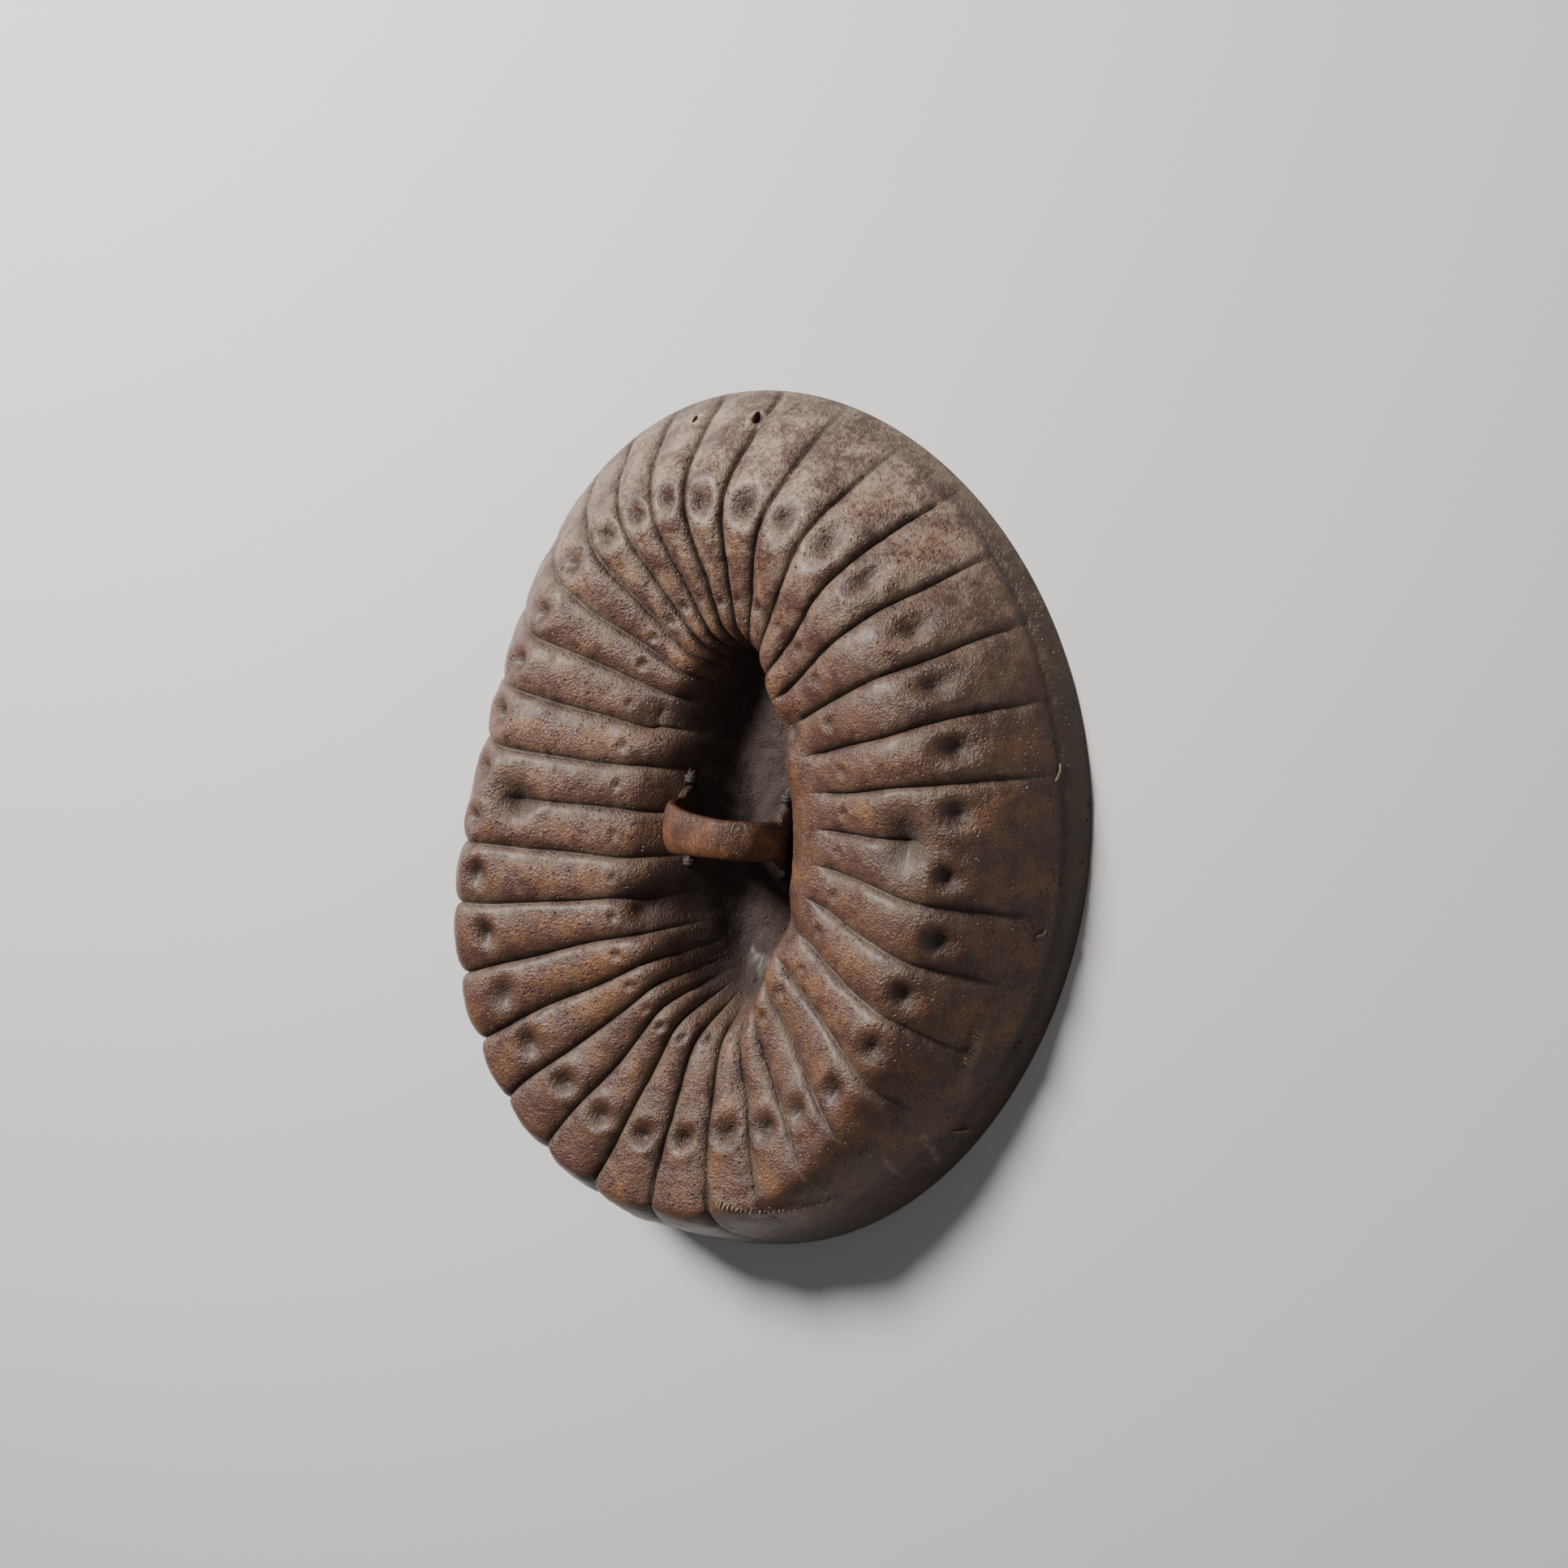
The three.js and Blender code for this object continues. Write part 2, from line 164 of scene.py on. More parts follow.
def plan_point(angle, inset):
    rim, edge, centre, slope, floor = rib_line(angle)
    down = np.clip(inset / slope, None, 1)
    over = np.clip((inset - slope) / floor, 0, 1)
    return (rim + (edge - rim) * down) * (1 - over) + centre * over


def slope_share(angle, inset):
    crest = soft_at_least(wave(angle, CREST_INSET), CREST_INSET_LEAST)
    return crest, (inset - crest) / (rib_line(angle)[3] - crest)


def form_height(angle, inset):
    top = wave(angle, CREST_HEIGHT)
    crest, share = slope_share(angle, inset)
    outer = top * (1 - np.clip(1 - inset / crest, 0, None) ** 2)
    endways = np.sin(angle) ** 8
    softness = 0.035 + 0.055 * np.cos(angle) ** 8 + 0.04 * endways
    wall = 1 / (1 + np.exp((share - 0.955 + 0.02 * endways) / softness))
    inner = TROUGH_FLOOR + (top - TROUGH_FLOOR) * (1 - 0.2 * ease(0, 0.75, share)) * wall
    _, _, _, slope, floor = rib_line(angle)
    middle = ease(0.5, 1, (inset - slope) / floor)
    inner = inner * (1 - middle) + (TROUGH_FLOOR + 0.8) * middle
    return np.where(share <= 0, outer, inner)


def form_point(angle, inset):
    x, y = plan_point(angle, inset)
    return np.stack([x, y, form_height(angle, inset)], axis=-1)


def form_normal(angle, inset):
    inset = np.maximum(inset, 0.5)
    along = form_point(angle, inset + 1.5) - form_point(angle, np.maximum(inset - 1.5, 0.4))
    around = form_point(angle + 0.02, inset) - form_point(angle - 0.02, inset)
    normal = np.cross(around, along)
    length = np.linalg.norm(normal, axis=-1, keepdims=True)
    return normal / np.maximum(length, 1e-9)


print("crest at the right:", form_point(np.float64(0), 108.0).round(1))

# %% [markdown]
# ## What is pressed into the hide
# Fingers and cords pressed the wet hide into ribs with a sharp crease between
# them. Each rib got a deep finger dimple near the crest and a small prick nearer
# the hollow. Two creases stop short at a broad hollow, and four knuckle dents
# sit beside the grip. All of it is one height above or below the plain form, so
# it can be added along the form's own normal, and each mark also leaves a mask
# that the material reads later for dust, wear and shade.

# %% Chance that is the same every time
chance = np.random.default_rng(34)
DIMPLE_SPREAD = chance.uniform(-1, 1, (RIBS, 4))
PRICK_SPREAD = chance.uniform(-1, 1, (RIBS, 3))
CREASE_SPREAD = chance.uniform(-1, 1, (RIBS, 2))
print("dimples vary in depth by up to", round(float(np.abs(DIMPLE_SPREAD[:, 0]).max()), 2))


# %% Creases between the ribs
def away_from(angle, middle):
    return np.arctan2(np.sin(angle - middle), np.cos(angle - middle))


def rib_width(rib, inset):
    one = plan_point(rib_angle(np.floor(rib)), inset)
    other = plan_point(rib_angle(np.floor(rib) + 1), inset)
    return np.hypot(*(one - other))


def pleat_start(angle):
    """How far in from the rim the ribs begin: furthest on the right, and more so at the lower right."""
    return 22 + 20 * np.cos(angle) + 45 * bell(away_from(angle, -0.96), 0.38)


def pleat_end(angle):
    """The share of the inner slope where the ribs end: sooner on the right, for a smooth lip there."""
    return 0.95 - 0.4 * bell(away_from(angle, 0.1), 0.7)


# The groove, the inset where it stops, and the depth, radius and stretch of the hollow there.
SHORT_GROOVES = [(10, 102, 12, 24, 1.35), (27, 106, 10, 17, 1.25)]
RIB_DEPTH = 4.6
RIB_FLATNESS = 0.55
CREASE_DEPTH = (1.8, 3.6)


def creases(rib, inset):
    angle = rib_angle(rib)
    across = rib - np.floor(rib)
    width = rib_width(rib, inset)
    nearest = np.round(rib).astype(int) % RIBS
    start = pleat_start(angle)
    _, share = slope_share(angle, inset)
    end = pleat_end(angle)
    ending = 1 - ease(end - 0.12, end + 0.07, share)
    broad = ease(start - 14, start + 18, inset) * ending
    sharp = ease(start - 36, start - 6, inset) * ending
    for number, stop, *_ in SHORT_GROOVES:
        near = 1 - ease(0.5, 0.75, np.abs(rib - number))
        kept = 1 - near * (1 - ease(stop - 20, stop + 12, inset))
        broad = broad * kept
        sharp = sharp * kept
    from_line = width * np.minimum(across, 1 - across)
    side = np.where(across < 0.5, 1.25, 0.8)
    reach = (1.1 + 0.026 * width) * side * (1 + 0.2 * CREASE_SPREAD[nearest, 0])
    cut = np.exp(-(from_line / reach))
    depth = np.clip(0.11 * width, *CREASE_DEPTH) * (1 + 0.3 * CREASE_SPREAD[nearest, 1])
    valley = 1 - np.abs(np.sin(math.pi * across)) ** RIB_FLATNESS
    height = -RIB_DEPTH * broad * valley - depth * sharp * cut
    return height, sharp * np.exp(-(from_line / (1.7 + 0.03 * width)))


print("crease depth at one place:", creases(np.array([5.0]), np.array([120.0]))[0].round(2))

# %% Dimples, pricks and dents
DIMPLE_INSET = [[77.8, 0], [-1, -9.4], [-12.4, 0]]
PRICK_INSET = [[173.8, 0], [-12.6, -8.5], [5.4, 0]]
# Radius, depth and height of the lip. The frame's dimples are 12 in radius and 7 deep.
DIMPLE_SIZES = (9.4, 8.6, 1.1)
PRICK_SIZES = (3.8, 3.8, 0.4)
# Four knuckle dents: how far to each side of the hollow, and how far along it. The frame's are 6 deep.
KNUCKLE_SIDE = 63
KNUCKLE_ALONG = (84, -68)
KNUCKLE_RADIUS = 19
KNUCKLE_DEPTH = 10.5


def rib_marks(rib, inset, line, spread, sizes):
    """A hollow on every rib. Returns its height, how deep a place lies in it, and its raised lip."""
    radius, depth, lip = sizes
    number = np.floor(rib).astype(int) % RIBS
    own = spread[number]
    middle = rib_angle(np.floor(rib) + 0.5)
    along = inset - wave(middle, line) - 3 * own[:, 2]
    sideways = (rib - np.floor(rib) - 0.5 - 0.04 * own[:, 1]) * rib_width(rib, inset)
    upper = bell(away_from(middle, 1.0), 0.75)
    size = radius * (1 + 0.16 * own[:, 0])
    far = np.hypot(along / (1 + 0.55 * upper), sideways * (1 + 0.15 * upper)) / size
    hollow = 0.6 * bell(far, 1) + 0.4 * bell(far, 0.5)
    ring = bell(far - 1.7, 0.65)
    return -depth * (1 + 0.2 * own[:, 1]) * hollow + lip * (1 + 0.5 * upper) * ring, hollow, ring


def oval_hollow(place, centre, radius, depth, stretch=1.0):
    offset = place - np.asarray(centre).reshape(2, 1)
    far = np.hypot(offset[0], offset[1] / stretch) / radius
    lip = bell(np.hypot(offset[0] / radius - 0.5, (offset[1] / stretch) / radius + 1.2), 0.55)
    return -depth * (0.75 * bell(far, 1) + 0.4 * bell(far, 0.5)) + 0.1 * depth * lip, bell(far, 0.75)


def dents(rib, inset):
    place = plan_point(rib_angle(rib), inset)
    height, shade = 0, 0
    for number, stop, depth, radius, stretch in SHORT_GROOVES:
        centre = plan_point(rib_angle(np.float64(number)), np.float64(stop))
        more, deeper = oval_hollow(place, centre, radius, depth, stretch)
        height, shade = height + more, shade + deeper
    for side in (-1, 1):
        for y in KNUCKLE_ALONG:
            centre = (TROUGH_CENTRE[0] + KNUCKLE_SIDE * side, TROUGH_CENTRE[1] + y)
            more, deeper = oval_hollow(place, centre, KNUCKLE_RADIUS, KNUCKLE_DEPTH)
            height, shade = height + more, shade + 0.8 * deeper
    return height, shade


near_a_dimple = rib_marks(np.array([5.5]), np.array([75.0]), DIMPLE_INSET, DIMPLE_SPREAD, DIMPLE_SIZES)
print("a dimple's middle:", near_a_dimple[0])

# %% [markdown]
# ## Seams and scars
# Old cuts in the hide were drawn together with thread, and have healed into
# ridges under the stitches. Each one follows a short path of rib and inset
# pairs. How far a place lies from such a path is measured in space, because
# most of the paths run across the steep outer wall.

# %% Paths on the hide
SEAM = [(17.75, 48), (17.3, 38), (16.84, 31), (16.4, 25.5), (16.03, 22)]
FLAP = [(16.03, 22), (15.98, 34), (16.0, 50), (16.0, 62)]
SCAR = [(13.13, 24), (12.9, 25), (12.67, 27)]
LONG_SCAR = [(14.85, 27), (15.0, 20), (15.13, 12)]
SCRATCH = [(14.33, 20), (14.5, 13), (14.67, 7)]
PALE_STITCHES = [[(8.86, 12), (8.98, 13), (9.1, 15)], [(11.15, 14), (11.21, 15), (11.27, 18)],
                 [(14.05, 6), (14.11, 8), (14.18, 11)]]


def resample(points, count):
    """Evenly spaced points on a smooth curve through the given ones."""
    points = np.asarray(points, float)
    padded = np.vstack([2 * points[0] - points[1], points, 2 * points[-1] - points[-2]])
    at = np.linspace(0, len(points) - 1, count)
    left = np.minimum(at.astype(int), len(points) - 2)
    t = (at - left)[:, None]
    a, b, c, d = (padded[left + step] for step in range(4))
    bend = (2 * a - 5 * b + 4 * c - d) * t**2 + (3 * b - a - 3 * c + d) * t**3
    return 0.5 * (2 * b + (c - a) * t + bend)


def distance_to_path(points, path, count=40):
    rib, inset = resample(path, count).T
    line = form_point(rib_angle(rib), inset)
    nearest = np.full(len(points), 1e9)
    for place in line:
        nearest = np.minimum(nearest, np.linalg.norm(points - place, axis=1))
    return nearest


# Rib, inset, length, width and slant of each slit.
SLITS = [(0.71, 17, 9, 4.5, 0.5), (1.91, 20, 13, 6, 0.35)]

print("points on the seam's path:", resample(SEAM, 5).round(1).tolist())

# %% [markdown]
# ## The whole relief
# All the pressed marks are added together here, with the rolled rim, the healed
# seams and a slow unevenness that no mould can avoid. The masks go with them in
# one dictionary, each a number from 0 to 1 for every point.


# %% Relief and masks
RIM_LINE_INSET = 11


def unevenness(points, size, seed):
    shift = Vector((seed * 7.3, seed * 3.1, seed * 5.7))
    return np.array([noise.noise(Vector(p) / size + shift) for p in points])


def relief(rib, inset):
    angle = rib_angle(rib)
    plain = form_point(angle, inset)
    _, share = slope_share(angle, inset)
    height, crease = creases(rib, inset)
    dimple, dimple_hollow, dimple_lip = rib_marks(rib, inset, DIMPLE_INSET, DIMPLE_SPREAD, DIMPLE_SIZES)
    prick, prick_hollow, prick_lip = rib_marks(rib, inset, PRICK_INSET, PRICK_SPREAD, PRICK_SIZES)
    dent, dent_hollow = dents(rib, inset)
    height = height + dimple + prick + dent

    seam = distance_to_path(plain, SEAM)
    flap = distance_to_path(plain, FLAP)
    scar = distance_to_path(plain, SCAR)
    long_scar = distance_to_path(plain, LONG_SCAR)
    scratch = distance_to_path(plain, SCRATCH)
    height = height + 2.2 * bell(seam, 5) - 1.6 * bell(seam, 1.4)
    height = height + 1.3 * bell(flap, 5) - 1.2 * bell(flap, 1.6)
    height = height + 2.6 * bell(scar, 5) - 1.2 * bell(scar, 1.3)
    height = height + 1.2 * bell(long_scar, 3) - 0.5 * bell(scratch, 1.6)

    banded = bell(away_from(angle, 0.15), 1.3)
    rim_line = bell(inset - RIM_LINE_INSET - 2 * np.sin(5 * angle), 1.8) * banded
    rim_band = (1 - ease(RIM_LINE_INSET - 3, RIM_LINE_INSET + 2, inset)) * (0.35 + 0.65 * banded)
    height = height - 1.2 * rim_line + 0.6 * bell(inset - 5, 4) * banded

    slit_edge = 0
    for slit_rib, slit_inset, length, *_ in SLITS:
        middle = form_point(rib_angle(np.float64(slit_rib)), np.float64(slit_inset))
        slit_edge = slit_edge + bell(np.linalg.norm(plain - middle, axis=1) - 0.5 * length, 2.2)
    height = height + 0.9 * slit_edge

    slow = unevenness(plain, 55, 1)
    quick = unevenness(plain, 17, 2)
    fine = unevenness(plain, 6.5, 3)
    inside = ease(0.86, 1.0, share)
    height = height + 1.5 * slow + 0.9 * quick + (0.4 + 0.5 * inside) * fine
    masks = {
        "crease": np.clip(crease, 0, 1),
        "hollow": np.clip(dimple_hollow + 0.9 * prick_hollow + 0.9 * dent_hollow, 0, 1),
        "lip": np.clip(dimple_lip + 0.6 * prick_lip, 0, 1),
        "rim_band": np.clip(rim_band, 0, 1),
        "rim_line": np.clip(rim_line, 0, 1),
        "pale": np.clip(0.9 * slit_edge + bell(scratch, 1.5) + 0.55 * bell(long_scar, 2.2)
                        + 0.5 * bell(seam, 2.5) + 0.45 * bell(scar, 4) + 0.3 * bell(flap, 2), 0, 1),
        "inside": inside,
        "crown": np.sin(math.pi * (rib - np.floor(rib))) ** 1.5,
    }
    return height * ease(0, 5, inset), masks


print("masks:", list(relief(np.array([3.3, 8.1]), np.array([40.0, 90.0]))[1]))

# %% [markdown]
# ## The hide shell
# One sheet makes the whole hide. A grid primitive is the start: its columns are
# spread round the shield, bunched beside every crease, and its rows run from the
# middle of the hollow over the crest to the rim, round the rim's edge and back
# along the underside. Every vertex is then moved to its place. Sculpting by hand
# would look as good, but thirty-four ribs would never come out as even.


# %% A sheet from a grid
def sheet_from_grid(name, columns, rows, place, merge=0.00002):
    """Bends a grid into place. place(u, v) gives points in metres and masks, u and v from 0 to 1."""
    bpy.ops.object.select_all(action="DESELECT")
    bpy.ops.mesh.primitive_grid_add(x_subdivisions=columns, y_subdivisions=rows, size=2)
    sheet = bpy.context.object
    sheet.name = name
    mesh = sheet.data
    mesh.name = name
    flat = np.empty(len(mesh.vertices) * 3)
    mesh.vertices.foreach_get("co", flat)
    flat = flat.reshape(-1, 3)
    u = np.round((flat[:, 0] + 1) / 2 * columns) / columns
    v = np.round((flat[:, 1] + 1) / 2 * rows) / rows
    points, masks = place(u, v)
    mesh.vertices.foreach_set("co", np.ascontiguousarray(points, float).ravel())
    for mask, values in masks.items():
        layer = mesh.attributes.new(mask, "FLOAT", "POINT")
        layer.data.foreach_set("value", np.asarray(values, float).ravel())
    mesh.update()
    bpy.ops.object.mode_set(mode="EDIT")
    bpy.ops.mesh.select_all(action="SELECT")
    bpy.ops.mesh.remove_doubles(threshold=merge)
    bpy.ops.mesh.normals_make_consistent(inside=False)
    bpy.ops.object.mode_set(mode="OBJECT")
    bpy.ops.object.shade_smooth()
    return sheet


FACE_ROWS = 150
RIM_ROWS = 3
UNDER_ROWS = 28
COLUMNS = RIBS * 15


# %% Where each point of the hide goes
def bunched(rib):
    number = np.floor(rib)
    share = rib - number
    return number + share - 0.55 * np.sin(TURN * share) / TURN


def spaced_inset(angle, share):
    _, _, _, slope, floor = rib_line(angle)
    crest, _ = slope_share(angle, 0)
    crowding = 1.12 + 0.5 * np.clip(wave(angle, DIMPLE_INSET) / crest - 1, 0, None)
    return (slope + floor) * share**crowding


def wander(rib, inset):
    angle = rib_angle(rib)
    slight = 0.03 * np.sin(9 * angle + inset / 31) + 0.012 * np.sin(-16 * angle + inset / 14)
    return rib + slight * ease(15, 60, inset) * (1 - ease(190, 240, inset))


def hide_places(u, v):
    total = FACE_ROWS + RIM_ROWS + UNDER_ROWS
    row = np.round(v * total)
    rib = bunched((u * RIBS) % RIBS)
    angle = rib_angle(rib)
    face = row <= FACE_ROWS
    under = row >= FACE_ROWS + RIM_ROWS
    share = np.where(face, 1 - row / FACE_ROWS, np.clip((row - FACE_ROWS - RIM_ROWS) / UNDER_ROWS, 0, 1))
    inset = np.where(face, np.maximum(spaced_inset(angle, share), 0.8), spaced_inset(angle, share))
    height, masks = relief(rib, inset)
    at = rib_angle(wander(rib, inset))
    normal = form_normal(at, inset)
    upper = form_point(at, inset) + normal * height[:, None]
    lower = form_point(at, inset) + normal * (0.85 * height - HIDE_THICKNESS)[:, None]
    lower[:, 2] = np.maximum(lower[:, 2], 0.6)
    edge = form_point(angle, np.zeros_like(angle))
    inwards = -edge / np.linalg.norm(edge, axis=1)[:, None]
    points = np.where(face[:, None], upper, lower)
    for step, (depth, lift) in {1: (0.5, 0.5), 2: (1.8, 0), 3: (6.2, 0)}.items():
        ring = edge + inwards * depth
        ring[:, 2] = lift
        points = np.where((row == FACE_ROWS + step)[:, None], ring, points)
    masks["underside"] = (~face).astype(float)
    for mask in masks:
        if mask != "underside":
            masks[mask] = masks[mask] * np.where(under, 0.5, 1)
    return points * MM, masks


hide = sheet_from_grid("hide", COLUMNS, FACE_ROWS + RIM_ROWS + UNDER_ROWS, hide_places)
print("hide:", len(hide.data.vertices), "vertices,", len(hide.data.polygons), "faces")
print("hide box:", [round(value, 4) for value in hide.dimensions])

# %% [markdown]
# ## The two slits
# Two slanting slits near the top once held a hanging thong. They are real cuts
# through the hide, so they are cut with a boolean rather than painted: a short
# cylinder is squeezed to the slit's oval and stood on the hide's own slope.


# %% Cut the slits
def hide_point(rib, inset, lift=0.0):
    rib = np.atleast_1d(np.asarray(rib, float))
    inset = np.atleast_1d(np.asarray(inset, float))
    angle = rib_angle(rib)
    height, _ = relief(rib, inset)
    return form_point(angle, inset) + form_normal(angle, inset) * (height + lift)[:, None]


def turned_basis(normal, direction):
    side = Vector(direction) - Vector(normal) * Vector(direction).dot(Vector(normal))
    side.normalize()
    return Matrix((side, Vector(normal).cross(side), Vector(normal))).transposed().to_4x4()


for rib, inset, length, width, slant in SLITS:
    bpy.ops.object.select_all(action="DESELECT")
    bpy.ops.mesh.primitive_cylinder_add(vertices=24, radius=0.5, depth=1)
    cutter = bpy.context.object
    normal = form_normal(rib_angle(np.float64(rib)), np.float64(inset))
    across = Vector((math.cos(slant), math.sin(slant), 0))
    place = Matrix.Translation(Vector(hide_point(rib, inset)[0] * MM)) @ turned_basis(normal, across)
    cutter.data.transform(place @ Matrix.Diagonal((width * MM, length * MM, 30 * MM, 1)))
    cut = hide.modifiers.new("slit", "BOOLEAN")
    cut.operation = "DIFFERENCE"
    cut.solver = "EXACT"
    cut.object = cutter
    bpy.ops.object.select_all(action="DESELECT")
    hide.select_set(True)
    bpy.context.view_layer.objects.active = hide
    bpy.ops.object.modifier_apply(modifier=cut.name)
    bpy.data.objects.remove(cutter)
    print("after a slit:", len(hide.data.polygons), "faces")

# %% [markdown]
# ## Cords and stitches
# Thongs and thread are all one kind of thing: a round cord that follows a path.
# A grid wrapped round the path makes one, with its ends drawn in to a point. Two
# such strands wound round each other look twisted, as hide thong is.


# %% A cord along a path
def cord(name, path, radius, sides=10, steps=40, strands=1, pitch=0.012):
    """A cord of one or more strands. All its sizes are in metres."""
    line = resample(np.asarray(path, float), steps + 1)
    tangent = np.gradient(line, axis=0)
    tangent /= np.linalg.norm(tangent, axis=1)[:, None]
    frame_side = np.empty_like(line)
    side = np.cross(tangent[0], (0.3, 0.2, 0.93))
    for i, direction in enumerate(tangent):
        side = side - direction * side.dot(direction)
        side /= np.linalg.norm(side)
        frame_side[i] = side
    frame_up = np.cross(tangent, frame_side)
    run = np.concatenate([[0], np.cumsum(np.linalg.norm(np.diff(line, axis=0), axis=1))])
    made = []
    for strand in range(strands):
        lay = TURN * (run / pitch + strand / strands)

        def place(u, v):
            i = np.round(v * steps).astype(int)
            size = radius * np.sqrt(np.clip(1 - (2 * v - 1) ** 24, 0, 1))
            off = 0.55 * size if strands > 1 else 0 * size
            thick = 0.62 * size if strands > 1 else size
            middle = line[i] + off[:, None] * (
                frame_side[i] * np.cos(lay[i])[:, None] + frame_up[i] * np.sin(lay[i])[:, None])
            turn = TURN * u
            ring = frame_side[i] * np.cos(turn)[:, None] + frame_up[i] * np.sin(turn)[:, None]
            return middle + ring * thick[:, None], {}

        made.append(sheet_from_grid(f"{name}_strand_{strand}", sides, steps, place, merge=0.0000001))
    return joined(name, made)


def joined(name, objects):
    bpy.ops.object.select_all(action="DESELECT")
    for one in objects:
        one.select_set(True)
    bpy.context.view_layer.objects.active = objects[0]
    if len(objects) > 1:
        bpy.ops.object.join()
    objects[0].name = name
    objects[0].data.name = name
    return objects[0]


print("a cord has", 10 * 40, "faces unless it is told otherwise")

# %% [markdown]
# ## The grip strap
# A strip of thick leather, wet-formed over the hollow, broad at its left
# shoulder and narrower to the right, with soft round edges and a polish from the
# hand. It is one grid wrapped into a long flat tube along an arch. An extruded
# strip with bevelled edges would do too, but the wrapped grid lets the width,
# the crown and the creases at the bend change smoothly.

# %% The strap's arch
GRIP_FOOT_X = 49
GRIP_FOOT_Z = 40
GRIP_TOP_Z = 102
# The frame's strap is 7 thick. This one is fuller.
GRIP_THICKNESS = 9.6
GRIP_WIDE = 38
GRIP_NARROW = 31
GRIP_FOOT_WIDTH = 56


def squarish(value):
    return np.sign(value) * np.abs(value) ** 0.78


def grip_line(share):
    turn = math.pi * (1 - share)
    return np.stack([
        TROUGH_CENTRE[0] + GRIP_FOOT_X * squarish(np.cos(turn)),
        -3 * np.cos(turn),
        GRIP_FOOT_Z + (GRIP_TOP_Z - GRIP_FOOT_Z) * squarish(np.sin(turn)),
    ], axis=-1)


def grip_width(share):
    body = GRIP_WIDE + (GRIP_NARROW - GRIP_WIDE) * ease(0.3, 0.6, share)
    foot = np.clip(np.maximum(1 - share / 0.09, 1 - (1 - share) / 0.09), 0, 1)
    return body + (GRIP_FOOT_WIDTH - body) * np.sqrt(foot)


def rounded(value):
    """Swells a circle's sine or cosine, so that the section is a soft-edged oblong."""
    return np.sign(value) * np.abs(value) ** 0.62


def grip_places(u, v):
    share = 0.002 + 0.996 * v
    middle = grip_line(share)
    along = grip_line(np.minimum(1, share + 0.004)) - grip_line(np.maximum(0, share - 0.004))
    along /= np.linalg.norm(along, axis=1)[:, None]
    across = np.array([0.0, 1.0, 0.0])
    out = np.cross(along, across)
    turn = TURN * u
    sideways = rounded(np.cos(turn)) * grip_width(share) / 2
    depth = rounded(np.sin(turn)) * GRIP_THICKNESS / 2
    closing = np.where((v == 0) | (v == 1), 0.0, 1.0)
    crown = 1.5 * (1 - (2 * sideways / grip_width(share)) ** 2) * np.where(depth > 0, 1, 0.4)
    points = middle + across * (sideways * closing)[:, None] + out * ((depth + crown) * closing)[:, None]
    wrinkle = unevenness(points * [1, 0.5, 1], 9, 11) * 0.7 + unevenness(points, 26, 12) * 1.0
    points = points + out * (wrinkle * closing * np.sign(depth))[:, None]
    edge = np.abs(2 * sideways / grip_width(share)) ** 6
    end = np.maximum(1 - share / 0.12, 1 - (1 - share) / 0.12).clip(0, 1)
    return points * MM, {"edge": edge, "end": end}


grip = sheet_from_grid("grip", 48, 96, grip_places)
print("grip box:", [round(value, 4) for value in grip.dimensions])

# %% [markdown]
# ## The thong ends
# Beside each foot of the strap a twisted thong comes up through the hide, bends
# over the foot's edge and is tucked back. Each is a two-strand cord with a knot,
# a short fat coil round it, where it turns.


# %% Thongs
GRIP_FOOT_EDGE = 29
THONG_RADIUS = 0.0034
THONG_PITCH = 0.024
KNOT_TURNS = 1.7
KNOT_RADIUS = 0.0025
COIL_RADIUS = 0.0033
COIL_PITCH = 0.0022


def thong(name, side, end):
    foot = TROUGH_CENTRE[0] + side * GRIP_FOOT_X
    edge = -3 * side + end * GRIP_FOOT_EDGE
    path = [(6, -7, 1), (3, -3, 9), (-1, 4, 11), (1, 9, 6), (5, 10, -2)]
    path = [((foot + side * x) * MM, (edge + end * y) * MM, (GRIP_FOOT_Z + z) * MM) for x, y, z in path]
    strand = cord(name + "_cord", path, THONG_RADIUS, steps=36, strands=2, pitch=THONG_PITCH)
    wrap = []
    x, y, z = path[2]
    for turn in np.linspace(0, KNOT_TURNS * TURN, 30):
        wrap.append((x + COIL_RADIUS * math.cos(turn), y + COIL_PITCH * (turn / TURN - 1.2),
                     z - 0.001 + COIL_RADIUS * math.sin(turn)))
    knot = cord(name + "_knot", wrap, KNOT_RADIUS, sides=8, steps=60)
    return joined(name, [strand, knot])


thongs = {}
for side_name, side in (("left", -1), ("right", 1)):
    for end_name, end in (("upper", 1), ("lower", -1)):
        name = f"thong_end_{side_name}_{end_name}"
        thongs[f"thong_{side_name}_{end_name}"] = thong(name, side, end)
print("thongs:", sorted(thongs))

# %% [markdown]
# ## The sewn lines
# The long seam at the lower edge is closed with a row of short stitches that
# cross it at a slant, and so is the small scar. Near the rim are three single
# pale stitches. Each stitch is a short arched cord, laid across its path in the
# plane of the hide.


# %% Stitches
SINGLE_STITCH_RADIUS = 0.0011


